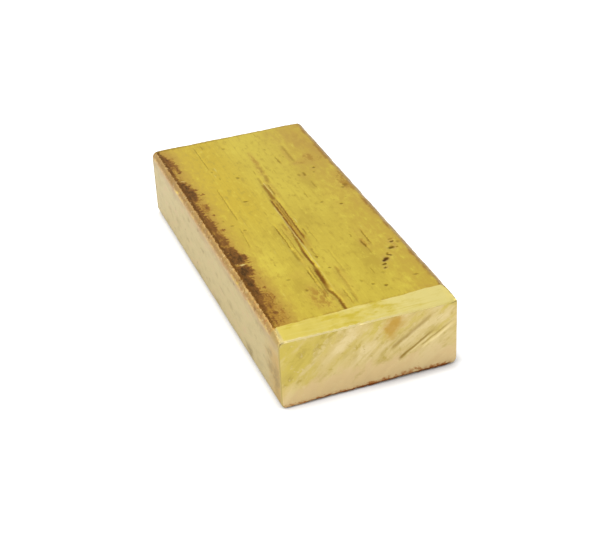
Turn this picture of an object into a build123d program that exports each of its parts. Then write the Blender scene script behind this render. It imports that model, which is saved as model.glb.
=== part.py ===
from build123d import *
import math
import os

# Drawn flat bar: its section, in millimetres
bar_width = 35.0
bar_thickness = 15.0
long_edge_radius = 1.3

# Length between the two corners that stand furthest apart
bar_length = 80.4

# Each sawn end leans out of square by this many degrees, seen from above
near_cut_lean = 0.4
far_cut_lean = 1.0

# Bevel filed by hand across the top of the near end. It is slightly twisted, so its reach along
# the top face and its depth on the sawn face are given at the left and at the right side.
bevel_run_left = 4.5
bevel_run_right = 4.7
bevel_drop_left = 0.45
bevel_drop_right = 1.0

# The saw tore off this much where it came out at the foot of the near end
saw_exit_break = 0.45

# Sharp edges round the sawn ends, eased with a file
eased_edge_radius = 0.2


def drawn_bar():
    """A plain length of bar, longer than the finished piece, lying along Y with its base at Z = 0."""
    section = Pos(0, bar_thickness / 2) * RectangleRounded(bar_width, bar_thickness, long_edge_radius)
    half_length = bar_length / 2 + bar_width
    return extrude(Plane.XZ * section, half_length, both=True)


def sawn_y(corner_y, lean, x):
    """Y of a sawn end at x; the corner that stands proudest lies at corner_y."""
    slope = math.tan(math.radians(lean))
    outward = math.copysign(1, corner_y)
    return corner_y - outward * (slope * x + bar_width / 2 * abs(slope))


def saw_plane(corner_y, lean):
    """The upright plane of a saw cut, facing out of the bar."""
    angle = math.radians(lean)
    outward = math.copysign(math.cos(angle), corner_y)
    return Plane(origin=(0, sawn_y(corner_y, lean, 0), 0), z_dir=(math.sin(angle), outward, 0))


def bevel_section(x):
    """Triangle of waste over the bevel, across the bar at x. Its long side is the bevel's slope, which
    runs on past the sawn face and past the top face by the bevel's own length."""
    share = x / bar_width + 0.5
    run = bevel_run_left + share * (bevel_run_right - bevel_run_left)
    drop = bevel_drop_left + share * (bevel_drop_right - bevel_drop_left)
    foot_y = sawn_y(-bar_length / 2, near_cut_lean, x)
    low = (foot_y - run, bar_thickness - 2 * drop)
    high = (foot_y + 2 * run, bar_thickness + drop)
    outer = (low[0], high[1])
    return Plane.YZ.offset(x) * make_face(Polyline(low, high, outer, close=True))


def bevel_waste():
    """Twisted wedge that the file takes off, reaching past both sides of the bar."""
    reach = bar_width / 2 + long_edge_radius
    return loft([bevel_section(-reach), bevel_section(reach)], ruled=True)


def saw_exit_plane():
    """The slanting break along the foot of the near end, facing out and down."""
    near_face = saw_plane(-bar_length / 2, near_cut_lean)
    return Plane(origin=near_face.origin + (0, 0, saw_exit_break), z_dir=near_face.z_dir - (0, 0, 1))


def ease_end(bar, plane):
    """Round the edges of the face that lies in the plane of a saw cut."""
    sawn_face = min(bar.faces(), key=lambda face: abs(plane.to_local_coords(face.center()).Z))
    return fillet(sawn_face.edges(), eased_edge_radius)


def brass_bar():
    """The finished piece: sawn and eased at both ends, then filed, and broken along its foot."""
    near_cut = saw_plane(-bar_length / 2, near_cut_lean)
    far_cut = saw_plane(bar_length / 2, far_cut_lean)
    bar = split(drawn_bar(), near_cut, keep=Keep.BOTTOM)
    bar = split(bar, far_cut, keep=Keep.BOTTOM)
    bar = ease_end(bar, near_cut)
    bar = ease_end(bar, far_cut)
    bar -= bevel_waste()
    return split(bar, saw_exit_plane(), keep=Keep.BOTTOM)


os.makedirs("parts", exist_ok=True)
export_step(brass_bar(), "parts/brass_bar.step")
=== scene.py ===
import math

import bpy
import numpy as np
from mathutils import Matrix, Vector


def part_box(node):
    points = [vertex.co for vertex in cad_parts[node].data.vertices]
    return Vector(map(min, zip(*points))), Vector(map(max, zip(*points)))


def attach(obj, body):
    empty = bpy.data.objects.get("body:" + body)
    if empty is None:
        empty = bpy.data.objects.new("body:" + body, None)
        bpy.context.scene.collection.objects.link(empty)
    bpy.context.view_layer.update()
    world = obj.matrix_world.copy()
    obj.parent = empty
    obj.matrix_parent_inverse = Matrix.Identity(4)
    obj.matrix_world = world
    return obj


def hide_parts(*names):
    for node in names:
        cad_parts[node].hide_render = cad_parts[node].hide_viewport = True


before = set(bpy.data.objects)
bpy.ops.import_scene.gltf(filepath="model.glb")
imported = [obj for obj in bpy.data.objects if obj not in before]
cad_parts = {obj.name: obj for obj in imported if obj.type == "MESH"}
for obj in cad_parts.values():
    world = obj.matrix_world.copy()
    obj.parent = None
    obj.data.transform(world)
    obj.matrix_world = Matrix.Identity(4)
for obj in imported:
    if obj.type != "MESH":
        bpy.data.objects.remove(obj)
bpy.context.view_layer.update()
mm = 0.001


# Camera, floor and light

cameraSet = {
    "place": (-82.28, -238.05, 159.26),    # mm, in the bar's frame
    "aim": (1.79, 0.88, 2.27),
    "roll": -3.0,                          # degrees, the photo leans a little
    "lens": 86.7,
}


def makeCamera():
    data = bpy.data.cameras.new("ingotCamera")
    data.lens = cameraSet["lens"]
    data.sensor_width = 36.0
    data.clip_start = 0.01
    camera = bpy.data.objects.new("ingotCamera", data)
    bpy.context.scene.collection.objects.link(camera)
    place = Vector(cameraSet["place"]) * mm
    look = Vector(cameraSet["aim"]) * mm - place
    turn = look.to_track_quat("-Z", "Y").to_matrix()
    turn = turn @ Matrix.Rotation(math.radians(cameraSet["roll"]), 3, "Z")
    camera.matrix_world = Matrix.Translation(place) @ turn.to_4x4()
    bpy.context.scene.camera = camera
    print("camera set")


stageSet = {
    "floorSize": 4.0,               # metres
    "floorShade": 0.70,
    "floorGlow": 0.60,              # keeps the paper white and its shadows faint
    "contact": 2.1,                 # mm, reach of the painted contact shadow under the bar
    "contactDepth": (2.0, 0.7),     # strength of that painted shadow: round the bar, and weaker in front of its near end on the left
    "frontAlong": (-39.0, -40.4),   # mm, where the second one begins and is full
    "frontAcross": (9.0, -6.0),
    "skyLight": 0.76,
    "lamps": {                      # size in metres, power in watts, place in metres
        "backSoftbox": (0.8, 4.5, (-0.30, 0.45, 0.85)),
        "leftSoftbox": (0.9, 4.5, (-0.80, 0.08, 0.42)),
    },
}


def whitePaper():
    paper = bpy.data.materials.new("whitePaper")
    paper.use_nodes = True
    bench["tree"] = paper.node_tree
    shader = paper.node_tree.nodes["Principled BSDF"]
    shade = stageSet["floorShade"]
    shader.inputs["Base Color"].default_value = (shade, shade, shade, 1)
    shader.inputs["Roughness"].default_value = 0.9
    shader.inputs["Specular IOR Level"].default_value = 0.1
    shader.inputs["Emission Color"].default_value = (1, 1, 1, 1)
    # painted contact shadow: the paper's glow dims near the bar, and less in front of the left half of the
    # near end
    contactShade = addNode("ShaderNodeAmbientOcclusion", samples=8)
    contactShade.inputs["Distance"].default_value = stageSet["contact"] * mm
    x, y, z = parts(addNode("ShaderNodeTexCoord").outputs["Object"])
    along = fade(y, *[edge * mm for edge in stageSet["frontAlong"]])
    across = fade(x, *[edge * mm for edge in stageSet["frontAcross"]])
    lit = calc("POWER", contactShade.outputs["AO"], mix(times(along, across), *stageSet["contactDepth"]))
    feed(shader.inputs["Emission Strength"], times(lit, stageSet["floorGlow"]))
    return paper


def makeStage():
    scene = bpy.context.scene
    scene.view_settings.view_transform = "Standard"
    scene.view_settings.look = "None"
    half = stageSet["floorSize"] / 2
    corners = [(-half, -half, 0), (half, -half, 0), (half, half, 0), (-half, half, 0)]
    mesh = bpy.data.meshes.new("paperFloor")
    mesh.from_pydata(corners, [], [(0, 1, 2, 3)])
    mesh.materials.append(whitePaper())
    floor = bpy.data.objects.new("paperFloor", mesh)
    scene.collection.objects.link(floor)

    world = bpy.data.worlds.new("softTent")
    world.use_nodes = True
    sky = world.node_tree.nodes["Background"]
    sky.inputs["Color"].default_value = (1, 1, 1, 1)
    sky.inputs["Strength"].default_value = stageSet["skyLight"]
    scene.world = world

    for name, (size, power, place) in stageSet["lamps"].items():
        light = bpy.data.lights.new(name, "AREA")
        light.shape = "DISK"
        light.size = size
        light.energy = power
        softbox = bpy.data.objects.new(name, light)
        scene.collection.objects.link(softbox)
        softbox.location = place
        softbox.rotation_euler = (-Vector(place)).to_track_quat("-Z", "Y").to_euler()
    print("floor and light set")


# The bar's shape, all in mm until the mesh is written

barForm = {
    "edgeRadius": 1.3,            # the four long edges
    "easedEdge": 0.2,             # round the sawn ends
    "nearLean": 0.4,              # degrees out of square
    "farLean": 1.0,
    "bevelRun": (4.5, 4.7),       # filed bevel: reach along the top, left and right
    "bevelDrop": (0.45, 1.0),     # and depth on the sawn face
    "footBreak": 0.45,            # torn edge at the foot of the near end
    "footTear": (0.22, 0.22),     # share of it that is uneven: broad and fine
    "nearRagged": 0.05,           # how far the edges of the cuts and of the bevel wander
    "farRagged": (0.14, 0.16),
    "bevelRagged": (0.12, 0.1),
    "drawLines": (0.007, 0.005),  # relief of the drawn skin: fine and broad lines,
    "waves": 0.02,                # shallow waves,
    "dings": (0.2, 0.1),          # and dings on the long edges
    "across": 140,                # mesh steps
    "upright": 48,
    "bevelRows": 16,
    "bodyRows": 206,
}
latticeSize = 24


def softNoise(points, cell, seed):
    # smooth noise from -1 to 1; cell is the size of a lump, mm
    lattice = np.random.default_rng(seed).uniform(-1, 1, (latticeSize, latticeSize, latticeSize))
    at = points / np.asarray(cell, float)
    base = np.floor(at).astype(int)
    part = at - base
    part = part * part * (3 - 2 * part)
    total = np.zeros(len(points))
    for corner in np.ndindex(2, 2, 2):
        near = np.where(np.array(corner, bool), part, 1 - part).prod(axis=1)
        ids = (base + corner) % latticeSize
        total += near * lattice[ids[:, 0], ids[:, 1], ids[:, 2]]
    return total


def sideRun(length, steps):
    # one side of the section, from mid corner to mid corner: distance along it and how far it is tucked in
    radius = barForm["edgeRadius"]
    halfArc = radius * math.pi / 4
    total = length - 2 * radius + 2 * halfArc
    gone = np.linspace(0, total, steps, endpoint=False)
    left = total - gone
    turnIn = math.pi / 4 + gone / radius
    turnOut = math.pi / 4 + left / radius
    along = np.where(gone < halfArc, radius - radius * np.cos(turnIn), gone - halfArc + radius)
    along = np.where(left < halfArc, length - radius + radius * np.cos(turnOut), along)
    tuck = np.where(gone < halfArc, radius - radius * np.sin(turnIn), 0.0)
    tuck = np.where(left < halfArc, radius - radius * np.sin(turnOut), tuck)
    return along, tuck


def sectionLoop(width, height):
    along, inset = sideRun(width, barForm["across"])
    down, tuck = sideRun(height, barForm["upright"])
    x = np.concatenate([-width / 2 + along, width / 2 - tuck, width / 2 - along, -width / 2 + tuck])
    z = np.concatenate([height - inset, height - down, inset, down])
    return x, z


def barRows(width, length, height):
    # rings of points from the near end to the far end, and which of them the file has cut
    x, z = sectionLoop(width, height)
    share = x / width + 0.5
    across = np.stack([x, z, np.zeros_like(x)], axis=1)
    nearY = -length / 2 + (x + width / 2) * math.tan(math.radians(barForm["nearLean"]))
    farY = length / 2 - (x + width / 2) * math.tan(math.radians(barForm["farLean"]))
    nearY = nearY + barForm["nearRagged"] * softNoise(across, 1.3, 14)
    broad, fine = barForm["farRagged"]
    farY = farY - fine * np.abs(softNoise(across, 1.1, 15)) - broad * np.abs(softNoise(across, 4.0, 16))
    across[:, 1] = 0
    broad, fine = barForm["bevelRagged"]
    run = np.interp(share, (0, 1), barForm["bevelRun"]) + broad * softNoise(across, 4.5, 13)
    run += fine * softNoise(across, 1.1, 17)
    drop = np.interp(share, (0, 1), barForm["bevelDrop"])
    eased = barForm["easedEdge"]
    rimY = nearY + run
    steps = [(nearY, eased), (nearY + 0.3 * eased, 0.3 * eased)]
    for part in np.linspace(0, 1, barForm["bevelRows"], endpoint=False):
        steps.append((nearY + eased + (run - eased) * part, 0.0))
    for part in np.linspace(0, 1, barForm["bodyRows"]):
        steps.append((rimY + (farY - eased - rimY) * part, 0.0))
    steps += [(farY - 0.3 * eased, 0.3 * eased), (farY, eased)]

    broad, fine = barForm["footTear"]
    torn = 0.9 + broad * softNoise(across, 2.3, 11) + fine * softNoise(across, 0.7, 12)
    foot = barForm["footBreak"] * np.clip(torn, 0.2, 1.4)
    rows, filed = [], []
    for y, inset in steps:
        bevelZ = np.where(y < rimY, height - drop * (1 - (y - nearY) / run), height + 1)
        filed.append(z > bevelZ)
        ringZ = np.minimum(z, bevelZ)
        ringX = x * (1 - inset / (width / 2))
        ringZ = height / 2 + (ringZ - height / 2) * (1 - inset / (height / 2))
        ringZ = np.maximum(ringZ, foot - (y - nearY))
        rows.append(np.stack([ringX, y, ringZ], axis=1))
    return np.array(rows), np.array(filed)


def capGrid(ring):
    # fills a ring with a grid that follows its four sides
    across, upright = barForm["across"], barForm["upright"]
    count = len(ring)
    top = ring[:across + 1]
    right = ring[across:across + upright + 1]
    bottom = ring[np.arange(2 * across + upright, across + upright - 1, -1)]
    left = ring[np.arange(count, 2 * across + upright - 1, -1) % count]
    u = np.linspace(0, 1, across + 1)[:, None, None]
    v = np.linspace(0, 1, upright + 1)[None, :, None]
    grid = (1 - v) * top[:, None] + v * bottom[:, None] + (1 - u) * left[None] + u * right[None]
    grid -= (1 - u) * (1 - v) * top[0] + u * (1 - v) * top[-1]
    grid -= (1 - u) * v * bottom[0] + u * v * bottom[-1]
    return grid


def capIds(firstRing, firstInner):
    # vertex numbers of a cap's grid: the ring's own round the rim, new ones inside
    across, upright = barForm["across"], barForm["upright"]
    count = 2 * (across + upright)
    inner = (across - 1, upright - 1)
    ids = np.zeros((across + 1, upright + 1), int)
    ids[1:-1, 1:-1] = firstInner + np.arange(inner[0] * inner[1]).reshape(inner)
    ids[:, 0] = firstRing + np.arange(across + 1)
    ids[-1, :] = firstRing + across + np.arange(upright + 1)
    ids[:, -1] = firstRing + 2 * across + upright - np.arange(across + 1)
    ids[0, :] = firstRing + (count - np.arange(upright + 1)) % count
    return ids


def quadsOf(ids):
    a, b, c, d = ids[:-1, :-1], ids[1:, :-1], ids[1:, 1:], ids[:-1, 1:]
    return np.stack([a, b, c, d], axis=-1).reshape(-1, 4)


# Marks on the top face, seen from above: x to the right and y to the far end, mm from the middle of the bar

# scores: width, depth, strength and colour of the dirt, path
topScores = [
    (0.7, 0.02, 0.35, "scoreDirt", [(1.7, 23.5), (1.5, 19.5)]),
    (0.75, 0.03, 0.5, "scoreDirt", [(1.35, 19.5), (1.1, 15.0)]),
    (0.55, 0.03, 0.4, "scoreDirt", [(-0.35, 19.0), (-0.5, 15.5)]),
    (0.8, 0.04, 0.75, "scoreDirt", [(-0.35, 16.0), (-0.55, 7.5)]),
    (0.35, 0.03, 0.6, "scoreDirt", [(0.65, 15.5), (0.35, 9.5)]),
    (0.34, 0.06, 1.0, "scoreDirt", [(-1.2, 9.0), (-1.25, 2.0), (-1.3, -11.5)]),
    (0.4, 0.03, 0.7, "scoreDirt", [(-1.4, 0.0), (-1.6, -4.0), (-2.2, -10.5)]),
    (0.3, 0.05, 0.85, "scoreDirt", [(-0.05, 8.5), (-0.15, 1.0), (-0.35, -9.5)]),
    (0.26, 0.02, 0.6, "scoreDirt", [(-0.65, 7.5), (-0.8, -4.0)]),
    (0.45, 0.02, 0.4, "scoreDirt", [(-2.4, -1.0), (-2.45, -5.5)]),
    (0.5, 0.03, 0.85, "scoreDirt", [(-1.9, -7.0), (-2.25, -10.5), (-2.5, -14.0), (-2.4, -19.5)]),
    (0.46, 0.03, 0.75, "scoreDark", [(-2.5, -12.6), (-2.45, -16.5), (-2.35, -20.6)]),
    (0.9, 0.03, 0.7, "scoreDirt", [(-2.4, -18.8), (-2.95, -28.4)]),
    (0.74, 0.03, 0.95, "scoreDark", [(-2.6, -19.8), (-2.75, -23.5), (-3.0, -26.8)]),
    (0.6, 0.03, 0.7, "scoreDirt", [(-3.05, -26.0), (-3.1, -29.4)]),
    (0.6, 0.04, 0.85, "scoreDark", [(-3.05, -27.6), (-2.6, -30.4), (-2.4, -32.8)]),
    (0.66, 0.04, 0.9, "scoreDark", [(-2.4, -30.6), (-2.6, -33.0), (-2.6, -37.0)]),
    (0.5, 0.01, 0.45, "scoreDirt", [(1.0, -20.7), (0.95, -24.0)]),
    (0.36, 0.01, 0.4, "scoreDirt", [(0.4, -30.0), (0.3, -34.8)]),
    (0.26, 0.05, 0.85, "lineDirt", [(-4.2, -1.5), (-4.2, -12.2)]),
    (0.6, 0.05, 0.6, "lineDirt", [(-4.25, -11.5), (-4.3, -17.2)]),
    (0.3, 0.05, 0.85, "lineDirt", [(-4.2, -19.5), (-4.3, -25.6)]),
    (0.26, 0.03, 0.45, "lineDirt", [(-4.3, -25.0), (-4.4, -31.5)]),
    (0.3, 0.03, 0.45, "scoreDirt", [(-0.5, -28.5), (-0.7, -35.0)]),
    (0.24, 0.02, 0.45, "scoreDirt", [(-3.3, -3.0), (-3.4, -16.0)]),
    (0.3, 0.02, 0.5, "lineDirt", [(-3.5, -18.0), (-3.7, -30.0)]),
    (0.4, 0.02, 0.45, "scoreDirt", [(-0.75, -12.5), (-0.8, -17.4)]),
    (0.3, 0.02, 0.5, "scoreDirt", [(0.6, -4.8), (0.55, -8.0)]),
    (0.24, 0.02, 0.25, "scoreDirt", [(1.6, -4.0), (1.45, -12.0)]),
    (0.3, 0.02, 0.22, "scoreDirt", [(2.2, -14.0), (2.1, -23.0)]),
    (0.5, 0.03, 0.3, "scoreDirt", [(0.9, -21.5), (0.6, -33.5)]),
    (0.2, 0.03, 0.5, "lineDirt", [(-8.6, 37.5), (-8.75, 26.0)]),
    (0.22, 0.03, 0.5, "lineDirt", [(-9.9, 18.0), (-10.1, 3.0)]),
    (0.22, 0.03, 0.5, "lineDirt", [(-10.7, 0.5), (-11.3, -8.0)]),
    (0.34, 0.02, 0.6, "lineDirt", [(6.2, 26.5), (6.25, 22.0)]),
    (0.34, 0.02, 0.45, "lineDirt", [(6.1, 8.5), (6.15, 6.0)]),
    (0.5, 0.02, 0.38, "lineDirt", [(9.3, 31.0), (9.2, 21.5)]),
    (0.5, 0.02, 0.8, "lineDirt", [(9.2, 17.0), (9.15, 15.0)]),
    (0.4, 0.02, 0.4, "lineDirt", [(9.3, 13.0), (9.25, 9.0)]),
    (0.34, 0.05, 1.0, "lineDirt", [(9.25, -14.0), (9.4, -17.6)]),
    (0.26, 0.03, 0.75, "lineDirt", [(10.8, -9.8), (10.65, -12.5), (10.6, -16.8)]),
    (0.24, 0.02, 0.4, "lineDirt", [(9.4, -17.0), (9.4, -20.0)]),
    (0.3, 0.02, 0.6, "lineDirt", [(8.1, -11.0), (8.15, -12.4)]),
]

# metal thrown up beside the scores, with a painted highlight along its crest: width, height, strength, path
topBurrs = [
    (0.22, 0.015, 0.55, [(-1.62, 5.0), (-1.6, -8.0), (-1.7, -20.0)]),
    (0.18, 0.015, 0.55, [(-0.05, 16.0), (0.1, 10.5)]),
    (0.16, 0.004, 0.2, [(-1.9, -21.5), (-2.1, -29.0)]),
]

# a row of little gouges near the right edge: width, depth, colour of the dirt, path
topGouges = [
    (0.5, 0.08, "gougeDirt", [(14.35, -17.3), (14.8, -17.15)]),
    (0.4, 0.03, "gougeStain", [(14.35, -16.3), (14.75, -16.35)]),
    (0.8, 0.12, "gougeDirt", [(13.25, -19.3), (13.8, -19.2)]),
    (0.36, 0.03, "gougeStain", [(14.5, -19.5), (14.7, -19.5)]),
    (0.52, 0.1, "gougeDirt", [(11.85, -21.3), (12.35, -21.7)]),
    (0.4, 0.03, "gougeStain", [(11.9, -20.9), (12.1, -20.8)]),
    (0.9, 0.14, "gougeDark", [(11.25, -22.45), (10.95, -22.75)]),
    (0.62, 0.12, "gougeDark", [(10.75, -22.9), (10.4, -23.2)]),
    (0.52, 0.1, "gougeDirt", [(9.7, -24.35), (10.15, -24.25)]),
    (0.5, 0.08, "gougeDirt", [(9.5, -25.6), (9.65, -25.45)]),
]

# single pits and smudges of dirt: place, half size, strength
topPits = [
    (-2.8, 34.5, 0.34, 0.45, 0.5), (-4.2, 20.4, 0.34, 0.5, 0.75), (-6.0, 10.0, 0.5, 0.34, 0.85),
    (12.0, 17.9, 0.32, 0.32, 1.0), (-6.8, -26.6, 0.3, 0.4, 0.7), (7.2, -31.1, 0.38, 0.36, 1.0),
    (5.2, -29.8, 0.28, 0.28, 0.7), (11.4, 0.8, 0.36, 0.3, 1.0), (13.8, -29.9, 0.55, 0.25, 0.7),
    (-8.6, -21.8, 0.36, 0.3, 0.6), (-10.0, -1.0, 0.3, 0.3, 0.6), (-11.7, 1.8, 0.36, 0.3, 0.6),
    (8.0, 3.2, 0.3, 0.26, 0.7), (11.3, 16.0, 0.24, 0.24, 0.6), (-0.8, -16.4, 0.25, 0.4, 0.7),
    (-0.5, -13.3, 0.2, 0.3, 0.5), (15.6, -17.6, 0.35, 0.4, 0.5), (8.6, -26.8, 0.45, 0.4, 0.4),
    (0.0, -21.0, 0.26, 0.26, 0.8), (3.6, -27.9, 0.3, 0.5, 0.5), (8.0, 16.0, 0.3, 0.5, 0.5),
    (15.2, 8.0, 0.5, 0.6, 0.6), (14.4, 7.2, 0.4, 0.4, 0.6), (-8.4, 25.2, 0.24, 0.4, 0.5),
]

sawMarks = {
    "centre": (59.6, -57.3),      # strokes of the saw swing about a point low on the right, mm
    "farCentre": (-70.0, 62.0),
    "depth": 0.045,
    "reach": 80.0,                # mm from the centre, where the way round it is measured
    "reliefReach": 100.0,
    "scratches": [                # width, depth, strength, and path across and up, seen from the near end
        (0.42, 0.05, 0.8, [(5.7, 4.5), (9.4, 6.9), (13.2, 9.2)]),
        (0.6, 0.03, 0.6, [(5.6, 4.4), (7.4, 5.5), (8.8, 6.4)]),
        (0.7, 0.03, 0.55, [(4.0, 7.2), (8.2, 9.7), (13.0, 12.9)]),
        (0.28, 0.02, 0.5, [(10.0, 6.2), (13.5, 8.2), (17.0, 10.2)]),
        (0.5, -0.03, 0.6, [(10.2, 5.7), (13.8, 7.6), (17.4, 9.9)]),
        (0.3, -0.015, 0.3, [(6.8, 4.8), (9.6, 6.5), (13.0, 8.5)]),
    ],
}


def pathDistance(flat, path):
    best = np.full(len(flat), 1e6)
    for start, end in zip(path, path[1:]):
        a, d = np.array(start), np.subtract(end, start)
        part = np.clip((flat - a) @ d / (d @ d), 0, 1)
        best = np.minimum(best, np.linalg.norm(flat - a - part[:, None] * d, axis=1))
    return best


def dip(distance, radius):
    return np.clip(1 - (distance / radius) ** 2, 0, 1) ** 2


def topRelief(points):
    flat = points[:, :2]
    wander = np.stack([0.18 * softNoise(points, (3, 5, 3), 21), np.zeros(len(points))], axis=1)
    relief = np.zeros(len(points))
    for width, depth, tone, dirt, path in topScores:
        relief -= depth * dip(pathDistance(flat + wander, path), 1.2 * width)
    for width, height, tone, path in topBurrs:
        relief += height * dip(pathDistance(flat + wander, path), 0.5)
    for width, depth, dirt, path in topGouges:
        reach = pathDistance(flat + wander, path)
        relief += 0.15 * depth * dip(reach, 1.7 * width)    # a low rim round each
        relief -= depth * dip(reach, 0.9 * width)
    for x, y, sizeX, sizeY, strength in topPits:
        off = (flat - (x, y)) / (sizeX, sizeY)
        relief -= 0.08 * strength * dip(np.linalg.norm(off, axis=1), 1.4)
    return relief


def skinRelief(points, normals):
    # draw lines along the bar, shallow waves, and dings on the long edges
    fine, broad = barForm["drawLines"]
    lines = fine * softNoise(points, (0.55, 40, 0.55), 31) + broad * softNoise(points, (1.7, 25, 1.7), 32)
    waves = barForm["waves"] * softNoise(points, (7, 16, 7), 33)
    onEdge = 4 * (normals[:, 0] * normals[:, 2]) ** 2
    large, small = barForm["dings"]
    dings = np.clip(softNoise(points, (2.4, 1.8, 2.4), 34) - 0.25, 0, 1) * large
    dings += np.clip(softNoise(points, (1.0, 0.8, 1.0), 35) - 0.25, 0, 1) * small
    return lines + waves - onEdge * dings


def sawRelief(points, centre, seed):
    off = points[:, [0, 2]] - centre
    reach = np.linalg.norm(off, axis=1)
    swing = np.arctan2(off[:, 0], off[:, 1]) * sawMarks["reliefReach"]
    strokes = np.stack([reach, swing, np.zeros(len(points))], axis=1)
    coarse = softNoise(strokes, (1.4, 8, 1), seed)
    fine = softNoise(strokes, (0.55, 5, 1), seed + 1)
    ridge = 1 - 2 * np.abs(softNoise(strokes, (3.4, 12, 1), seed + 2))
    lumps = softNoise(points, 1.6, seed + 3)
    return sawMarks["depth"] * (0.6 * coarse + 0.4 * fine + 0.4 * ridge + 0.5 * lumps)


def endScratches(points):
    # deep scratches and raised ones on the near end
    upright = points[:, [0, 2]]
    relief = np.zeros(len(points))
    for width, depth, tone, path in sawMarks["scratches"]:
        relief -= depth * dip(pathDistance(upright, path), width)
    return relief


def makeBar():
    low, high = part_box("brass_bar")
    width, length, height = [(b - a) / mm for a, b in zip(low, high)]
    rows, filed = barRows(width, length, height)
    ringCount, ringSize = rows.shape[:2]
    nearGrid, farGrid = capGrid(rows[0]), capGrid(rows[-1])
    inner = [grid[1:-1, 1:-1].reshape(-1, 3) for grid in (nearGrid, farGrid)]
    points = np.concatenate([rows.reshape(-1, 3), *inner])
    skinCount = ringCount * ringSize
    nearIds = capIds(0, skinCount)
    farIds = capIds(skinCount - ringSize, skinCount + len(inner[0]))

    # section normals for the skin
    x, z = sectionLoop(width, height)
    tangent = np.stack([np.roll(x, -1) - np.roll(x, 1), np.roll(z, -1) - np.roll(z, 1)], axis=1)
    tangent /= np.linalg.norm(tangent, axis=1)[:, None]
    ringNormal = np.stack([-tangent[:, 1], np.zeros(ringSize), tangent[:, 0]], axis=1)
    normals = np.tile(ringNormal, (ringCount, 1))

    skin = points[:skinCount]
    relief = skinRelief(skin, normals)
    pastBevel = np.repeat(np.arange(ringCount), ringSize) > barForm["bevelRows"] + 1
    onTop = (normals[:, 2] > 0.9) & pastBevel
    relief[onTop] += topRelief(skin[onTop])
    moved = points.copy()
    moved[:skinCount] += normals * relief[:, None]
    near, far = nearIds.ravel(), farIds.ravel()
    moved[near, 1] = points[near, 1] - sawRelief(points[near], sawMarks["centre"], 51)
    moved[near, 1] -= endScratches(points[near])
    moved[far, 1] = points[far, 1] + sawRelief(points[far], sawMarks["farCentre"], 61)
    moved[:, 2] = np.maximum(moved[:, 2], 0)

    ringIds = np.arange(skinCount).reshape(ringCount, ringSize)
    skinQuads = quadsOf(np.concatenate([ringIds, ringIds[:, :1]], axis=1))
    capQuads = np.concatenate([quadsOf(nearIds)[:, ::-1], quadsOf(farIds)])
    quads = np.concatenate([skinQuads, capQuads])

    mesh = bpy.data.meshes.new("brassBar")
    mesh.from_pydata((moved * mm).tolist(), [], quads.tolist())
    mesh.materials.append(drawnSkin())
    mesh.materials.append(filedBevel())
    mesh.materials.append(sawnFace())

    # finish of each face: 0 is the skin, 1 the bevel, 2 the sawn ends
    row = np.arange(len(skinQuads)) // ringSize
    column = np.arange(len(skinQuads)) % ringSize
    slots = np.where(filed[row, column] & filed[row, (column + 1) % ringSize], 1, 0)
    slots[(row <= 1) & (column >= barForm["across"]) & (column < ringSize - barForm["upright"])] = 2
    slots[row >= ringCount - 3] = 2
    slots = np.concatenate([slots, np.full(len(capQuads), 2)])
    mesh.polygons.foreach_set("material_index", slots.astype(np.int32))
    mesh.polygons.foreach_set("use_smooth", np.ones(len(quads), bool))
    mesh.update()
    mesh.validate()
    mesh.set_sharp_from_angle(angle=math.radians(50))
    bar = bpy.data.objects.new("brassBar", mesh)
    bpy.context.scene.collection.objects.link(bar)
    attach(bar, "root")
    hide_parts("brass_bar")
    print("bar made,", len(moved), "points,", 2 * len(quads), "triangles")


# Small helpers for the finishes. They work in the node tree that lies on the bench.

bench = {"tree": None, "paints": None, "colour": None, "rough": None}


def paint(red, green, blue):
    # a colour as it is picked on screen, turned to the light values that the shader wants
    light = [c / 255 / 12.92 if c < 11 else ((c / 255 + 0.055) / 1.055) ** 2.4 for c in (red, green, blue)]
    return (*light, 1.0)


def addNode(kind, **settings):
    node = bench["tree"].nodes.new(kind)
    for name, value in settings.items():
        setattr(node, name, value)
    return node


def feed(socket, value):
    if isinstance(value, bpy.types.NodeSocket):
        bench["tree"].links.new(value, socket)
    else:
        socket.default_value = value


def feedAll(node, *values):
    for socket, value in zip(node.inputs, values):
        feed(socket, value)
    return node.outputs


def calc(operation, *values):
    # works through the values from left to right
    total = values[0]
    for value in values[1:]:
        total = feedAll(addNode("ShaderNodeMath", operation=operation), total, value)[0]
    return total


def times(*values):
    return calc("MULTIPLY", *values)


def plus(*values):
    return calc("ADD", *values)


def minus(a, b):
    return calc("SUBTRACT", a, b)


def either(*masks):
    return calc("MAXIMUM", *masks)


def sway(noise, amount):
    # noise about 0, as wide as the amount
    return times(minus(noise, 0.5), amount)


def vector(operation, *values):
    outputs = feedAll(addNode("ShaderNodeVectorMath", operation=operation), *values)
    return outputs["Value"] if operation in ("LENGTH", "DOT_PRODUCT") else outputs[0]


def scaled(place, size):
    node = addNode("ShaderNodeVectorMath", operation="SCALE")
    feed(node.inputs["Scale"], size)
    return feedAll(node, place)[0]


def stretched(place, factors):
    return vector("MULTIPLY", place, factors)


def shifted(place, offset):
    return vector("ADD", place, offset)


def join(*values):
    return feedAll(addNode("ShaderNodeCombineXYZ"), *values)[0]


def parts(place):
    return feedAll(addNode("ShaderNodeSeparateXYZ"), place)


def fade(value, low, high):
    # 0 at low, 1 at high, smooth between; low may be the larger
    node = addNode("ShaderNodeMapRange", interpolation_type="SMOOTHSTEP", clamp=False)
    return feedAll(node, value, low, high)[0]


def grain(place, size, seed, detail=2.0, rough=0.5):
    # noise about 0.5; size is the length of a lump in mm along x, y and z
    at = shifted(stretched(place, tuple(1 / s for s in size)), (17.3 * seed, 5.1 * seed, 9.7 * seed))
    node = addNode("ShaderNodeTexNoise")
    for name, value in (("Vector", at), ("Scale", 1.0), ("Detail", detail), ("Roughness", rough)):
        feed(node.inputs[name], value)
    return node.outputs[0]


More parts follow.
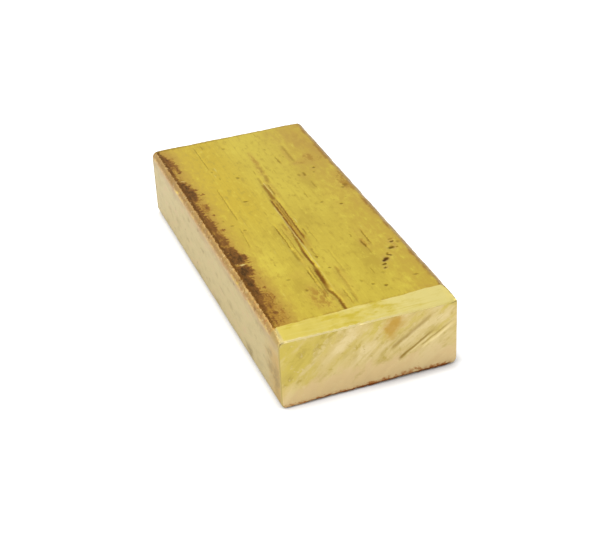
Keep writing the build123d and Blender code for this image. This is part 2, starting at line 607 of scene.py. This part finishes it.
def mix(mask, a, b, kind="FLOAT"):
    node = addNode("ShaderNodeMix", data_type=kind)
    first, result = {"FLOAT": (2, 0), "RGBA": (6, 2)}[kind]
    feed(node.inputs[0], mask)
    feed(node.inputs[first], a)
    feed(node.inputs[first + 1], b)
    return node.outputs[result]


def coat(paintName, *masks, rough=None):
    # lays a paint over what is there, as strong as the product of the masks
    mask = times(*masks)
    bench["colour"] = mix(mask, bench["colour"], bench["paints"][paintName], "RGBA")
    if rough is not None:
        bench["rough"] = mix(mask, bench["rough"], rough)


def stroke(place, path, width, soft=0.5):
    # mask of a line through the points of a path
    near = None
    for start, end in zip(path, path[1:]):
        d = Vector(end) - Vector(start)
        off = vector("SUBTRACT", place, tuple(start))
        part = vector("DOT_PRODUCT", off, tuple(d / d.length_squared))
        part = calc("MINIMUM", calc("MAXIMUM", part, 0.0), 1.0)
        distance = vector("LENGTH", vector("SUBTRACT", off, scaled(tuple(d), part)))
        near = distance if near is None else calc("MINIMUM", near, distance)
    return fade(near, width * (0.5 + soft), width * (0.5 - soft))


def spot(place, centre, size, soft=0.5):
    # mask of an oval patch; size is its half width along each axis
    off = stretched(vector("SUBTRACT", place, centre), tuple(1 / s for s in size))
    return fade(vector("LENGTH", off), 1 + soft, 1 - soft)


def patches(place, ovals, soft):
    total = None
    for x, y, sizeX, sizeY, strength in ovals:
        oval = times(spot(place, (x, y, 0), (sizeX, sizeY, 1), soft), strength)
        total = oval if total is None else either(total, oval)
    return total


def profile(value, low, high, stops):
    # a value drawn along the bar: stops are (place in mm, height from 0 to 1)
    share = feedAll(addNode("ShaderNodeMapRange", clamp=False), value, low, high)[0]
    node = addNode("ShaderNodeValToRGB")
    points = node.color_ramp.elements
    while len(points) < len(stops):
        points.new(0.5)
    for point, (where, height) in zip(points, sorted(stops)):
        point.position = (where - low) / (high - low)
        point.color = (height, height, height, 1)
    return feedAll(node, share)[0]


def specks(place, gap, size, share, seed):
    # scattered dots: gap between places for a dot, its radius in mm, and the share of places that have one
    at = shifted(place, (31.0 * seed, 13.0 * seed, 0))
    node = addNode("ShaderNodeTexVoronoi")
    feed(node.inputs["Vector"], at)
    node.inputs["Scale"].default_value = 1 / gap
    chance = feedAll(addNode("ShaderNodeSeparateColor"), node.outputs["Color"])
    radius = times(chance[1], size / gap)
    dot = fade(minus(node.outputs["Distance"], radius), 0.08, -0.08)
    return times(dot, fade(chance[0], 1.0 - share, 1.0 - share + 0.02))


def startFinish(name, paints):
    material = bpy.data.materials.new(name)
    material.use_nodes = True
    bench.update(tree=material.node_tree, paints=paints, colour=paints["brass"], rough=paints["roughness"])
    place = scaled(addNode("ShaderNodeTexCoord").outputs["Object"], 1 / mm)
    return material, place, parts(place)


def endFinish(material, bump):
    shader = material.node_tree.nodes["Principled BSDF"]
    feed(shader.inputs["Base Color"], bench["colour"])
    feed(shader.inputs["Roughness"], bench["rough"])
    shader.inputs["Metallic"].default_value = 1.0
    relief = addNode("ShaderNodeBump")
    relief.inputs["Strength"].default_value = 1.0
    relief.inputs["Distance"].default_value = bench["paints"]["scratch"] * mm
    feed(relief.inputs["Height"], bump)
    feed(shader.inputs["Normal"], relief.outputs[0])
    print("finish made:", material.name, len(material.node_tree.nodes), "nodes")
    return material


# Drawn skin: the four long faces and their rounded edges

skinLook = {
    "brass": paint(221, 197, 71),
    "bright": paint(233, 212, 80),
    "gold": paint(223, 193, 56),
    "olive": paint(204, 177, 61),
    "ochre": paint(214, 182, 68),
    "tan": paint(203, 166, 70),
    "brown": paint(178, 136, 46),
    "hairDark": paint(170, 138, 30),
    "hairBright": paint(240, 225, 128),
    "bareMetalAndHighlight": paint(238, 217, 138),
    "side": paint(168, 151, 95),
    "sideShade": paint(140, 121, 73),
    "sideRose": paint(174, 146, 101),
    "sideOlive": paint(154, 136, 78),
    "sideFiled": paint(166, 130, 30),
    "sideCopper": paint(150, 120, 74),
    "sideMark": paint(120, 100, 44),
    "cornerFiled": paint(190, 170, 112),
    "cornerDull": paint(162, 138, 84),
    "fringe": paint(192, 153, 64),
    "tarnishPale": paint(174, 130, 48),
    "tarnish": paint(130, 87, 34),
    "tarnishDark": paint(82, 55, 20),
    "edgeLine": paint(100, 64, 16),
    "copper": paint(172, 138, 80),
    "copperPale": paint(196, 168, 114),
    "copperPaintedShade": paint(152, 118, 66),
    "rightEdge": paint(184, 156, 105),
    "rust": paint(164, 100, 54),
    "scoreDirt": paint(134, 86, 4),
    "lineDirt": paint(144, 112, 14),
    "pitDirt": paint(120, 88, 0),
    "scoreDark": paint(128, 82, 0),
    "gougeDirt": paint(112, 84, 0),
    "gougeDark": paint(82, 44, 0),
    "gougeStain": paint(160, 130, 20),
    "gougeRim": paint(214, 178, 108),
    "rightSeam": paint(160, 110, 44),
    "roughness": 0.36,
    "scratch": 0.014,    # mm, bump of the fine draw lines
}

# The brown band along the left edge of the top. First how far in its pale fringe reaches, as a share of
# 6 mm, at places along the bar, then the dark patches: place, half size, strength
tarnishFringe = [
    (40, 0.3), (36, 0.48), (28, 0.46), (24, 0.46), (18, 0.52), (10, 0.54), (0, 0.46), (-6, 0.52),
    (-14, 0.62), (-20, 0.7), (-30, 0.78), (-36, 0.76),
]
tarnishPatches = [
    (-15.9, 33.0, 0.75, 4.0, 0.85), (-14.9, 31.5, 0.6, 3.8, 0.55), (-14.8, 27.8, 0.45, 0.6, 0.75),
    (-16.2, 26.0, 0.4, 3.0, 0.7), (-15.8, 20.6, 0.9, 3.0, 1.1), (-15.4, 17.3, 1.3, 3.0, 1.1),
    (-14.1, 19.0, 0.5, 0.6, 0.7), (-13.2, 16.6, 0.45, 0.5, 0.6), (-16.0, 10.0, 0.7, 5.5, 0.8),
    (-14.5, 11.0, 0.8, 1.8, 0.55), (-13.9, 7.4, 0.35, 0.4, 0.6), (-15.7, 4.0, 1.0, 4.0, 0.8),
    (-15.6, -2.5, 1.2, 3.8, 0.7), (-15.4, -7.8, 1.3, 2.2, 1.0), (-15.0, -10.9, 1.8, 2.0, 1.1),
    (-13.4, -12.7, 1.0, 0.35, 0.6), (-15.1, -15.4, 1.6, 2.3, 1.15), (-15.7, -18.8, 1.1, 3.4, 1.1),
    (-15.7, -23.0, 1.0, 3.0, 1.0), (-13.7, -22.2, 0.45, 0.4, 0.65), (-15.9, -27.0, 0.8, 3.8, 0.75),
    (-14.9, -28.0, 0.5, 4.4, 0.55), (-14.2, -26.8, 0.3, 3.6, 0.5), (-13.4, -26.0, 0.3, 2.4, 0.35),
    (-14.8, -31.4, 0.5, 0.6, 0.75), (-15.6, -33.0, 0.5, 3.4, 0.5), (-14.6, -32.6, 0.3, 2.8, 0.4),
    (-13.6, -31.8, 0.3, 2.0, 0.3), (-13.2, -26.3, 0.4, 0.5, 0.5), (-14.2, 1.0, 0.5, 0.6, 0.5),
    (-16.4, 0.0, 0.5, 40.0, 0.5),
]

# Strength of the brown between the scores, at places along the bar
scoreFill = [(-13, 0), (-10, 0.4), (-5, 0.7), (3, 0.65), (8, 0.6), (10, 0.4), (18, 0)]

# Cloudy tan stains on the rest of the top: place, half size, strength
topStains = [
    (15.3, 9.5, 1.4, 4.0, 1.1), (16.1, 8.6, 0.8, 4.6, 1.2), (15.7, 11.4, 0.7, 2.8, 1.4),
    (15.3, 8.9, 0.9, 1.7, 1.4), (16.2, -1.0, 0.5, 5.0, 0.9), (16.3, 27.0, 0.5, 8.0, 0.6),
    (16.3, -11.0, 0.4, 4.0, 0.8), (16.3, -24.0, 0.4, 8.0, 0.7), (14.8, 2.0, 1.2, 4.0, 0.5),
    (13.2, 21.8, 2.4, 1.0, 0.8), (15.0, -17.2, 1.0, 1.6, 0.8), (12.8, 22.6, 1.6, 2.2, 1.0),
    (10.0, 21.3, 1.8, 0.9, 0.8), (14.6, 21.5, 1.2, 0.9, 0.8), (9.2, 26.5, 0.8, 3.6, 0.6),
    (9.0, 15.5, 1.2, 1.4, 0.5), (9.7, -15.0, 1.0, 2.2, 0.9), (10.3, -11.5, 1.4, 2.6, 0.4),
    (-5.5, -27.0, 0.9, 2.4, 0.75), (-2.2, -31.0, 1.6, 5.0, 0.5), (0.9, -25.0, 1.2, 6.0, 0.5),
    (-5.2, -30.0, 2.4, 5.0, 1.0), (-4.9, -28.0, 1.8, 2.6, 0.9), (14.0, 32.0, 2.6, 7.0, 0.6),
    (1.6, 26.0, 0.6, 4.0, 0.8), (1.1, 21.0, 0.7, 3.0, 0.8), (0.8, 14.0, 0.7, 5.0, 0.7),
    (-2.3, -5.0, 0.8, 3.0, 0.6), (-1.0, -11.0, 0.8, 2.6, 0.6), (13.0, -34.6, 2.5, 0.7, 0.6),
    (-6.0, -21.0, 2.0, 1.4, 0.4), (-3.5, -18.0, 1.0, 4.0, 0.5), (-5.0, -33.0, 2.2, 1.8, 0.8),
]

# Olive and brown marks on the two sides: place along and up the side, half size, strength
leftMarks = [
    (4.6, 9.0, 1.1, 0.5, 0.8), (13.6, 11.5, 0.9, 0.45, 0.7), (-12.4, 6.0, 1.6, 0.7, 0.5),
    (-22.8, 2.6, 1.6, 0.8, 0.9), (28.0, 6.3, 1.2, 0.7, 0.4), (22.5, 6.5, 1.3, 0.8, 0.4),
    (16.2, 5.8, 0.9, 0.4, 0.6), (-7.4, 6.4, 1.6, 0.5, 0.4), (-35.0, 9.6, 1.3, 0.8, 0.6),
    (-36.0, 6.6, 2.2, 1.6, 0.6), (-38.2, 5.6, 1.4, 3.0, 0.7), (39.7, 7.0, 0.5, 4.5, 0.8),
    (8.5, 2.0, 1.5, 0.6, 0.5), (-3.0, 1.8, 2.0, 0.5, 0.5), (-30.0, 12.2, 2.4, 0.6, 0.4),
    (-14.0, 12.6, 2.0, 0.5, 0.4),
]
rightMarks = [
    (31.0, 8.4, 1.4, 0.6, 0.6), (24.0, 3.0, 2.4, 0.8, 0.5), (18.5, 10.8, 0.8, 0.5, 0.7),
    (9.0, 6.2, 1.8, 0.6, 0.4), (1.5, 11.6, 1.2, 0.5, 0.6), (-4.0, 3.6, 1.4, 0.9, 0.6),
    (-13.0, 8.8, 2.2, 0.5, 0.4), (-19.5, 5.0, 1.0, 0.5, 0.8), (-27.0, 10.4, 1.6, 0.8, 0.5),
    (-34.5, 3.4, 2.2, 1.2, 0.6), (-37.5, 8.0, 1.4, 2.6, 0.5), (39.2, 6.0, 0.6, 4.0, 0.7),
]


def flatPath(path):
    return [(x, y, 0) for x, y in path]


def drawnSkin():
    material, place, (x, y, z) = startFinish("brassDrawnSkin", skinLook)

    # t runs round the left top edge: on the top it is the distance from the left side, below it is negative
    halfWidth, height = 17.5, 15.0
    below = minus(height, z)
    ragged = minus(grain(place, (0.9, 1.3, 0.9), 5, 4, 0.68), 0.5)
    t = minus(plus(x, halfWidth), below)
    tRight = minus(minus(halfWidth, x), below)
    tEdge = plus(t, times(ragged, 1.3))
    tRightEdge = plus(tRight, times(ragged, 1.1))
    upper = fade(z, 7.0, 9.0)
    onTop = fade(z, 14.2, 14.8)
    onLeft = fade(x, 1.0, -1.0)
    onRight = fade(x, -1.0, 1.0)
    unfiled = fade(y, -36.4, -35.9)

    # place on the top, with wobbles that make the outlines of marks uneven
    across, along = [grain(place, (2.2, 3.0, 2.2), seed, 4, 0.62) for seed in (15, 16)]
    wobble = join(sway(across, 1.0), sway(along, 2.4))
    shiver = join(*[minus(grain(place, (0.55, 0.6, 0.55), seed, 2, 0.6), 0.5) for seed in (18, 19)])
    teeth = minus(grain(place, (2.5, 0.45, 2.5), 24, 2, 0.6), 0.5)
    comb = join(times(teeth, fade(grain(place, (1.5, 2.2, 1.5), 26, 2), 0.3, 0.7), 3.4))
    flat = stretched(place, (1, 1, 0))
    uneven = shifted(flat, wobble)
    gentle = shifted(flat, stretched(wobble, (0.5, 0.3, 0)))
    torn = shifted(shifted(uneven, stretched(shiver, (1.5, 1.0, 0))), comb)
    shaky = shifted(gentle, stretched(shiver, (0.5, 0.4, 0)))

    # clouds, draw lines and hairlines of the bare metal
    clouds = grain(place, (6, 14, 6), 1, 4)
    coat("bright", fade(clouds, 0.5, 0.72))
    coat("olive", fade(clouds, 0.48, 0.26))
    coat("gold", fade(x, 3.0, -8.0), fade(y, -10.0, 12.0), 0.8)
    coat("bright", fade(x, -5.0, 1.0), fade(x, 10.0, 5.0), fade(y, 2.0, 14.0), 0.5)
    lines = grain(place, (0.45, 22, 0.45), 2, 3, 0.6)
    coat("olive", fade(lines, 0.56, 0.8), 0.7)
    coat("bright", fade(lines, 0.44, 0.2), 0.6)
    mottle = grain(place, (1.1, 2.6, 1.1), 12, 4, 0.66)
    coat("olive", fade(mottle, 0.5, 0.7), 0.9)
    coat("bright", fade(mottle, 0.46, 0.3), 0.7)
    drawn = stretched(gentle, (1, 0.13, 1))
    busy = fade(grain(place, (5, 8, 5), 7, 2), 0.36, 0.6)
    coat("hairDark", specks(drawn, 1.0, 0.2, 0.4, 2), onTop, busy, 0.6, rough=0.42)
    coat("hairBright", specks(drawn, 0.9, 0.16, 0.3, 5), onTop, busy, 0.6, rough=0.32)

    # ochre towards both long edges
    coat("ochre", either(fade(t, 10.0, 3.0), fade(tRight, 11.0, 3.0)), fade(mottle, 0.3, 0.6))

    # sides: duller and paler, with blotches, painted contact shade and dirt at the bottom edge, and darker
    # towards the near end
    sides = either(fade(tEdge, -0.6, -1.8), fade(tRightEdge, -0.6, -1.8), fade(z, 2.0, 1.0))
    coat("side", sides, rough=0.42)
    blotch = grain(place, (2.2, 3.2, 1.5), 9, 4, 0.64)
    coat("sideShade", sides, fade(blotch, 0.48, 0.76), 0.5, rough=0.46)
    coat("sideRose", sides, fade(blotch, 0.48, 0.3), 0.7, rough=0.44)
    smudge = grain(place, (1.3, 2.2, 1.0), 20, 4, 0.66)
    coat("sideOlive", sides, fade(smudge, 0.5, 0.75), 0.3, rough=0.46)
    coat("sideCopper", sides, fade(z, 11.4, 13.0), fade(smudge, 0.3, 0.6), 0.6, rough=0.44)
    nearSide = fade(plus(y, times(smudge, 10.0)), -26.0, -34.5)
    nearSide = times(nearSide, fade(z, 14.0, 10.0), either(onLeft, 0.35))
    coat("sideFiled", sides, nearSide, 0.85, rough=0.42)
    # painted contact shade and dirt, darker towards the bottom edge
    foot = fade(plus(z, times(smudge, 2.4)), 2.9, 1.3)
    coat("sideShade", sides, foot, 0.85, rough=0.48)
    upright = join(plus(y, sway(smudge, 6.0)), plus(z, sway(blotch, 3.0)))
    marks = either(times(patches(upright, leftMarks, 0.8), onLeft),
                   times(patches(upright, rightMarks, 0.8), onRight))
    coat("sideMark", sides, marks, fade(ragged, -0.26, 0.06), 0.95, rough=0.5)
    dots = specks(stretched(place, (1, 0.7, 1)), 2.0, 0.5, 0.3, 9)
    coat("sideMark", sides, dots, fade(ragged, -0.1, 0.12), 0.6, rough=0.5)

    # tan wash towards the far right, and single stains
    wash = grain(place, (2.0, 5, 2.0), 3, 5, 0.62)
    washed = either(times(fade(x, 3.0, 13.0), fade(y, 6.0, 26.0)), fade(tRight, 3.2, 1.2))
    coat("tan", washed, fade(wash, 0.34, 0.66), onTop, 0.8)
    rag = fade(grain(place, (0.8, 1.6, 0.8), 14, 4, 0.66), 0.24, 0.62)
    stains = times(patches(uneven, topStains, 0.7), rag, onTop)
    coat("tan", stains, 0.8, rough=0.42)
    coat("brown", fade(stains, 0.45, 0.95), 0.7, rough=0.45)

    # ragged brown band along the left edge: pale fringe, specks, three depths of tarnish, bare flecks
    blot = grain(place, (0.8, 1.3, 0.8), 4, 4, 0.72)
    streak = grain(place, (0.5, 3.0, 0.5), 17, 3, 0.6)
    reach = times(profile(y, -40, 40, tarnishFringe), 6.0)
    inside = minus(plus(reach, times(blot, 3.4)), plus(t, 0.6))
    here = times(fade(tEdge, 0.6, 1.0), upper, unfiled)
    coat("fringe", fade(inside, -1.6, 1.8), here, 0.85, rough=0.42)
    coat("tarnishPale", fade(inside, 0.2, 2.6), fade(streak, 0.36, 0.6), here, 0.6, rough=0.46)
    coat("lineDirt", specks(torn, 0.8, 0.34, 0.45, 4), fade(inside, -0.2, 1.2), here, 0.75, rough=0.5)
    dirt = times(patches(torn, tarnishPatches, 0.5), here)
    grime = plus(times(blot, 1.5), times(streak, 0.8))
    depth = plus(dirt, minus(grime, 1.15))
    edgeOfDirt = fade(dirt, 0.02, 0.36)
    coat("tarnishPale", fade(depth, -0.05, 0.35), edgeOfDirt, rough=0.48)
    coat("tarnish", fade(depth, 0.3, 0.75), edgeOfDirt, rough=0.55)
    coat("tarnishDark", fade(depth, 0.8, 1.35), edgeOfDirt, rough=0.6)
    coat("bareMetalAndHighlight", specks(torn, 1.5, 0.36, 0.3, 6), edgeOfDirt, fade(dirt, 1.05, 0.7), 0.7, rough=0.4)
    coat("bareMetalAndHighlight", spot(shaky, (-14.7, -13.2, 0), (0.55, 0.26, 1), 0.5), 0.8, rough=0.36)

    # rounded left edge, coppery with rusty and bare spots, and the dark line beside it
    freckles = grain(place, (0.6, 0.9, 0.6), 6, 4, 0.7)
    dripping = fade(plus(tEdge, sway(blotch, 4.5)), -2.0, -0.5)
    copperBand = times(fade(tEdge, 1.15, 0.85), dripping, upper, fade(y, -39.0, -35.6))
    coat("copper", copperBand, fade(freckles, 0.15, 0.4), rough=0.42)
    # painted shade: darker where the rounded edge turns down towards the side
    coat("copperPaintedShade", copperBand, fade(t, 0.2, -0.6), 0.7, rough=0.46)
    coat("copperPale", copperBand, fade(freckles, 0.46, 0.36), 0.8, rough=0.38)
    coat("rust", copperBand, fade(freckles, 0.58, 0.66), 0.6, rough=0.5)
    coat("edgeLine", copperBand, fade(mottle, 0.6, 0.7), 0.6, rough=0.5)
    line = times(fade(tEdge, 0.65, 0.9), fade(tEdge, 1.65, 1.2), upper, unfiled)
    coat("edgeLine", line, fade(freckles, 0.25, 0.5), rough=0.55)

    # and the right one, with a seam and a line
    rightBand = times(fade(tRightEdge, 1.5, 0.8), fade(tRightEdge, -2.0, -1.0), upper, unfiled)
    coat("rightEdge", rightBand, 0.85, rough=0.44)
    coat("rust", rightBand, fade(freckles, 0.54, 0.64), 0.7, rough=0.5)
    coat("copperPale", rightBand, fade(freckles, 0.42, 0.34), 0.6, rough=0.4)
    rightSeam = times(fade(tRightEdge, 0.9, 1.2), fade(tRightEdge, 1.9, 1.5), upper, unfiled)
    coat("rightSeam", rightSeam, fade(wash, 0.44, 0.58), 0.55, rough=0.48)
    rightLine = times(fade(tRightEdge, 0.5, 0.25), fade(tRightEdge, -0.5, -0.2), upper, unfiled)
    coat("edgeLine", rightLine, fade(mottle, 0.4, 0.56), 0.8, rough=0.5)

    # scores with dirt in them, and the burrs beside them with a painted highlight
    worn = fade(grain(place, (0.5, 2.2, 0.5), 8, 3, 0.6), 0.16, 0.46)
    fill = stroke(shaky, [(-0.3, 18.0, 0), (-0.65, 8.0, 0), (-0.8, -12.0, 0)], 1.45, 0.3)
    fillTone = profile(y, -14, 20, scoreFill)
    coat("brown", fill, fade(worn, -0.4, 0.8), onTop, fillTone, rough=0.45)
    scored = {"scoreDirt": 0.0, "lineDirt": 0.0, "scoreDark": 0.0}
    for width, depth, tone, dirtName, path in topScores:
        start, end = path[0][1], path[-1][1]
        taper = min(1.6, 0.3 * (start - end))
        ends = times(fade(y, start + 0.2, start - taper), fade(y, end - 0.2, end + taper))
        mark = times(stroke(shaky, flatPath(path), width, 0.36), ends, tone)
        scored[dirtName] = either(mark, scored[dirtName])
    for dirtName, mark in scored.items():
        coat(dirtName, mark, worn, onTop, rough=0.5)
    crestHighlights = 0.0
    for width, height, tone, path in topBurrs:
        crestHighlights = either(times(stroke(gentle, flatPath(path), width), tone), crestHighlights)
    coat("bareMetalAndHighlight", crestHighlights, worn, onTop, rough=0.36)

    # pits, gouges, flecks, and nicks along the far end
    coat("pitDirt", patches(shaky, topPits, 0.6), onTop, 0.8, rough=0.55)
    rims = 0.0
    dug = {"gougeStain": 0.0, "gougeDirt": 0.0, "gougeDark": 0.0}
    for width, depth, dirtName, path in topGouges:
        rims = either(stroke(shaky, flatPath(path), 2.0 * width, 0.45), rims)
        dug[dirtName] = either(stroke(shaky, flatPath(path), width, 0.4), dug[dirtName])
    coat("gougeRim", rims, onTop, fade(freckles, 0.42, 0.58), 0.5, rough=0.4)
    for dirtName, mark in dug.items():
        coat(dirtName, mark, onTop, 0.95, rough=0.6)
    flecks = specks(stretched(uneven, (1, 0.6, 1)), 1.3, 0.26, 0.24, 1)
    coat("lineDirt", flecks, onTop, unfiled, 0.36, rough=0.5)
    coat("lineDirt", fade(plus(y, times(freckles, 2.0)), 39.7, 40.6), onTop, 0.6, rough=0.5)

    # by the bevel: a soft painted shadow line along its upper edge, and the rounded edges filed clean beside
    # it
    coat("brown", fade(y, -34.9, -35.6), onTop, fade(mottle, 0.3, 0.6), 0.5)
    besideBevel = times(fade(y, -35.7, -36.4), fade(plus(z, ragged), 12.6, 13.8))
    coat("cornerDull", besideBevel, onLeft, rough=0.5)
    coat("cornerFiled", besideBevel, onRight, rough=0.55)
    # painted highlight: the eased upright edge at the near left corner, in the pale side colour
    paintedEdgeHighlight = times(fade(y, -39.7, -40.0), fade(x, -16.4, -17.2), fade(z, 14.6, 14.0))
    coat("side", paintedEdgeHighlight, 0.9, rough=0.48)
    return endFinish(material, plus(lines, times(mottle, 0.5)))


# Filed bevel across the top of the near end

bevelLook = {
    "brass": paint(235, 214, 103),
    "pale": paint(248, 232, 149),
    "gold": paint(222, 199, 72),
    "rimHighlight": paint(245, 228, 172),
    "leftEnd": paint(200, 183, 126),
    "rightEnd": paint(232, 216, 134),
    "roughness": 0.32,
    "scratch": 0.008,
}


def filedBevel():
    material, place, (x, y, z) = startFinish("brassFiledBevel", bevelLook)
    strokes = grain(place, (7, 0.5, 7), 21, 2, 0.5)
    patchy = grain(place, (3.4, 1.5, 3.4), 22, 4, 0.6)
    small = grain(place, (0.8, 0.6, 0.8), 23, 3, 0.6)
    coat("gold", fade(patchy, 0.5, 0.34), 0.9)
    rightward = plus(times(x, 0.03), times(patchy, 1.6), times(small, 0.4))
    coat("pale", fade(rightward, 0.75, 1.4), 0.85)
    coat("pale", fade(strokes, 0.54, 0.72), 0.4)
    coat("gold", fade(strokes, 0.44, 0.28), 0.4)
    coat("gold", fade(small, 0.44, 0.32), 0.1)

    # painted highlight along the lower edge, which follows the saw cut
    cutY, cutSlope = -40.08, 0.007
    fromCut = plus(minus(minus(y, times(x, cutSlope)), cutY), sway(small, 1.2))
    coat("rimHighlight", fade(fromCut, 0.5, 0.15), fade(x, 14.0, -2.0), 0.8, rough=0.4)

    # its two ends, which run out over the rounded edges
    coat("leftEnd", fade(x, -15.9, -16.5), rough=0.6)
    coat("rightEnd", fade(x, 15.6, 16.6), rough=0.55)
    return endFinish(material, plus(strokes, times(patchy, 0.8)))


# Sawn ends

sawnLook = {
    "brass": paint(192, 172, 113),
    "pale": paint(205, 187, 138),
    "gold": paint(185, 167, 82),
    "olive": paint(164, 144, 68),
    "rose": paint(200, 176, 128),
    "stain": paint(178, 142, 62),
    "scratchDark": paint(140, 114, 50),
    "bright": paint(222, 204, 150),
    "foot": paint(156, 94, 36),
    "footOxideAndShadow": paint(118, 64, 18),
    "roughness": 0.42,
    "scratch": 0.016,
}

# Smears along the strokes of the saw on the near end: place across and up, half length, half width, strength
sawnGold = [
    (-14.0, 9.5, 5.5, 2.6, 1.0), (-16.0, 12.5, 3.0, 2.0, 1.0), (-9.5, 12.5, 3.5, 2.0, 0.9),
    (-12.5, 6.0, 3.0, 1.4, 0.7), (1.2, 12.8, 2.6, 1.3, 0.8), (16.3, 13.6, 1.8, 0.9, 0.9),
    (14.5, 9.5, 3.0, 0.8, 0.5), (-5.5, 8.0, 4.0, 0.9, 0.5), (8.2, 12.0, 4.0, 0.7, 0.5),
    (-2.0, 10.2, 3.0, 0.7, 0.5), (3.0, 10.5, 2.0, 1.0, 0.6),
]
sawnOlive = [
    (-9.0, 12.4, 2.2, 1.0, 0.9), (-13.5, 11.0, 1.8, 0.7, 0.8), (-16.4, 5.6, 0.8, 0.45, 0.9),
    (-13.4, 6.0, 1.0, 0.5, 0.9), (-2.0, 10.0, 1.8, 0.4, 0.9), (-3.2, 9.1, 0.5, 0.4, 1.0),
    (3.0, 9.6, 1.3, 0.3, 0.9), (2.0, 5.2, 0.9, 0.9, 0.8), (-5.0, 13.4, 1.5, 0.5, 0.6),
    (7.0, 9.2, 2.6, 0.4, 0.5), (-1.5, 4.2, 2.0, 0.3, 0.4), (-11.0, 9.5, 2.4, 0.6, 0.5),
]
sawnPale = [
    (-4.2, 12.2, 2.2, 1.2, 1.0), (-1.0, 8.2, 2.8, 1.1, 0.9), (2.2, 7.6, 1.6, 0.6, 0.6),
    (9.5, 9.8, 4.0, 0.7, 0.7), (15.0, 11.6, 1.8, 0.8, 0.8), (-10.0, 10.4, 3.0, 0.5, 0.6),
    (-15.0, 4.0, 2.0, 0.9, 0.5), (6.6, 13.4, 1.6, 0.4, 0.5), (-3.4, 11.4, 0.6, 0.35, 1.0),
    (-6.5, 6.2, 3.0, 0.7, 0.4), (12.6, 10.6, 1.6, 0.6, 0.6), (13.5, 6.3, 3.0, 1.3, 0.6),
    (8.4, 8.2, 2.6, 0.7, 0.5), (11.0, 3.2, 5.0, 1.6, 0.5),
]


def smears(turned, ovals):
    # the same places as distance from the saw's centre and way round it
    placed = []
    for x, z, along, across, strength in ovals:
        dx, dz = x - sawMarks["centre"][0], z - sawMarks["centre"][1]
        placed.append((math.hypot(dx, dz), sawMarks["reach"] * math.atan2(dx, dz), across, along, strength))
    return patches(turned, placed, 0.6)


def sawnFace():
    material, place, (x, y, z) = startFinish("brassSawnEnd", sawnLook)
    centreX, centreZ = sawMarks["centre"]
    upright = stretched(place, (1, 0, 1))
    distance = vector("LENGTH", vector("SUBTRACT", upright, (centreX, 0, centreZ)))
    swing = calc("ARCTAN2", minus(x, centreX), minus(z, centreZ))
    turned = join(distance, times(swing, sawMarks["reach"]))
    strokes = grain(turned, (1.5, 4, 1), 41, 2, 0.5)
    fine = grain(turned, (0.5, 2.6, 1), 44, 2, 0.55)
    blots = grain(place, (1.5, 1.5, 1.3), 48, 4, 0.62)
    nearEnd = fade(y, 1.0, -1.0)

    # lower part smooth and rosy, upper part with gold, pale and olive smears
    lumps = grain(turned, (1.3, 2.2, 1), 46, 4, 0.64)
    low = fade(plus(z, sway(lumps, 7.0)), 6.4, 3.6)
    coat("rose", low)
    high = fade(low, 1.0, 0.2)
    along = shifted(turned, join(sway(lumps, 3.0), sway(strokes, 7.0)))
    farGold = times(fade(strokes, 0.42, 0.7), fade(y, -1.0, 1.0))
    coat("gold", either(times(smears(along, sawnGold), nearEnd), farGold), fade(blots, 0.2, 0.46))
    coat("pale", smears(along, sawnPale), nearEnd, fade(blots, 0.26, 0.5))
    coat("olive", smears(along, sawnOlive), nearEnd, fade(blots, 0.62, 0.4))
    coat("pale", fade(strokes, 0.54, 0.7), high, 0.35)
    coat("olive", fade(strokes, 0.45, 0.3), high, 0.35)
    coat("olive", fade(blots, 0.55, 0.7), high, 0.5)
    coat("pale", fade(blots, 0.44, 0.32), 0.4)
    rightHalf = fade(x, -10.0, 6.0)
    coat("pale", fade(fine, 0.52, 0.7), rightHalf, 0.3)
    coat("olive", fade(fine, 0.45, 0.3), high, rightHalf, 0.3)

    # a tan stain, deep scratches with dirt, and raised ones with a painted highlight
    rag = join(sway(blots, 3.0), 0.0, sway(lumps, 2.6))
    uneven = shifted(upright, rag)
    tanPatch = either(spot(uneven, (4.9, 0, 12.7), (1.7, 1, 1.4), 0.7),
                      times(spot(uneven, (4.2, 0, 11.6), (1.3, 1, 1.7), 0.7), 0.9))
    coat("stain", tanPatch, nearEnd, 0.95, rough=0.48)
    shaky = shifted(upright, scaled(rag, 0.16))
    for width, depth, tone, path in sawMarks["scratches"]:
        start, end = path[0][0], path[-1][0]
        ends = times(fade(x, start - 0.3, start + 0.8), fade(x, end + 0.4, end - 2.4))
        mark = times(stroke(shaky, [(px, 0, pz) for px, pz in path], width, 0.42), nearEnd, ends, tone)
        if depth > 0:
            coat("scratchDark", mark, rough=0.5)
        else:
            coat("bright", mark, rough=0.34)
    dots = times(specks(uneven, 1.8, 0.3, 0.25, 2), fade(blots, 0.4, 0.55))
    coat("scratchDark", dots, 0.5, rough=0.5)

    # torn foot: patchy brown, more of it to the right, and at the very bottom a dark line of brown oxide and
    # painted contact shadow
    tear = grain(place, (0.5, 1, 0.4), 43, 4, 0.74)
    cluster = fade(grain(place, (2.0, 2.0, 6.0), 47, 2), 0.42, 0.6)
    rise = plus(times(fade(x, -6.0, 10.0), times(cluster, 0.75)), sway(tear, 2.0))
    inCorner = fade(x, 16.7, 15.4)
    coat("foot", fade(minus(z, rise), 1.1, 0.6), inCorner, fade(blots, 0.66, 0.4), 0.9, rough=0.55)
    bottom = fade(minus(z, times(tear, 0.5)), 0.52, 0.28)
    coat("footOxideAndShadow", bottom, fade(x, -17.5, -8.0), inCorner, 0.95, rough=0.6)
    return endFinish(material, plus(strokes, times(blots, 0.8)))


makeCamera()
makeStage()
makeBar()
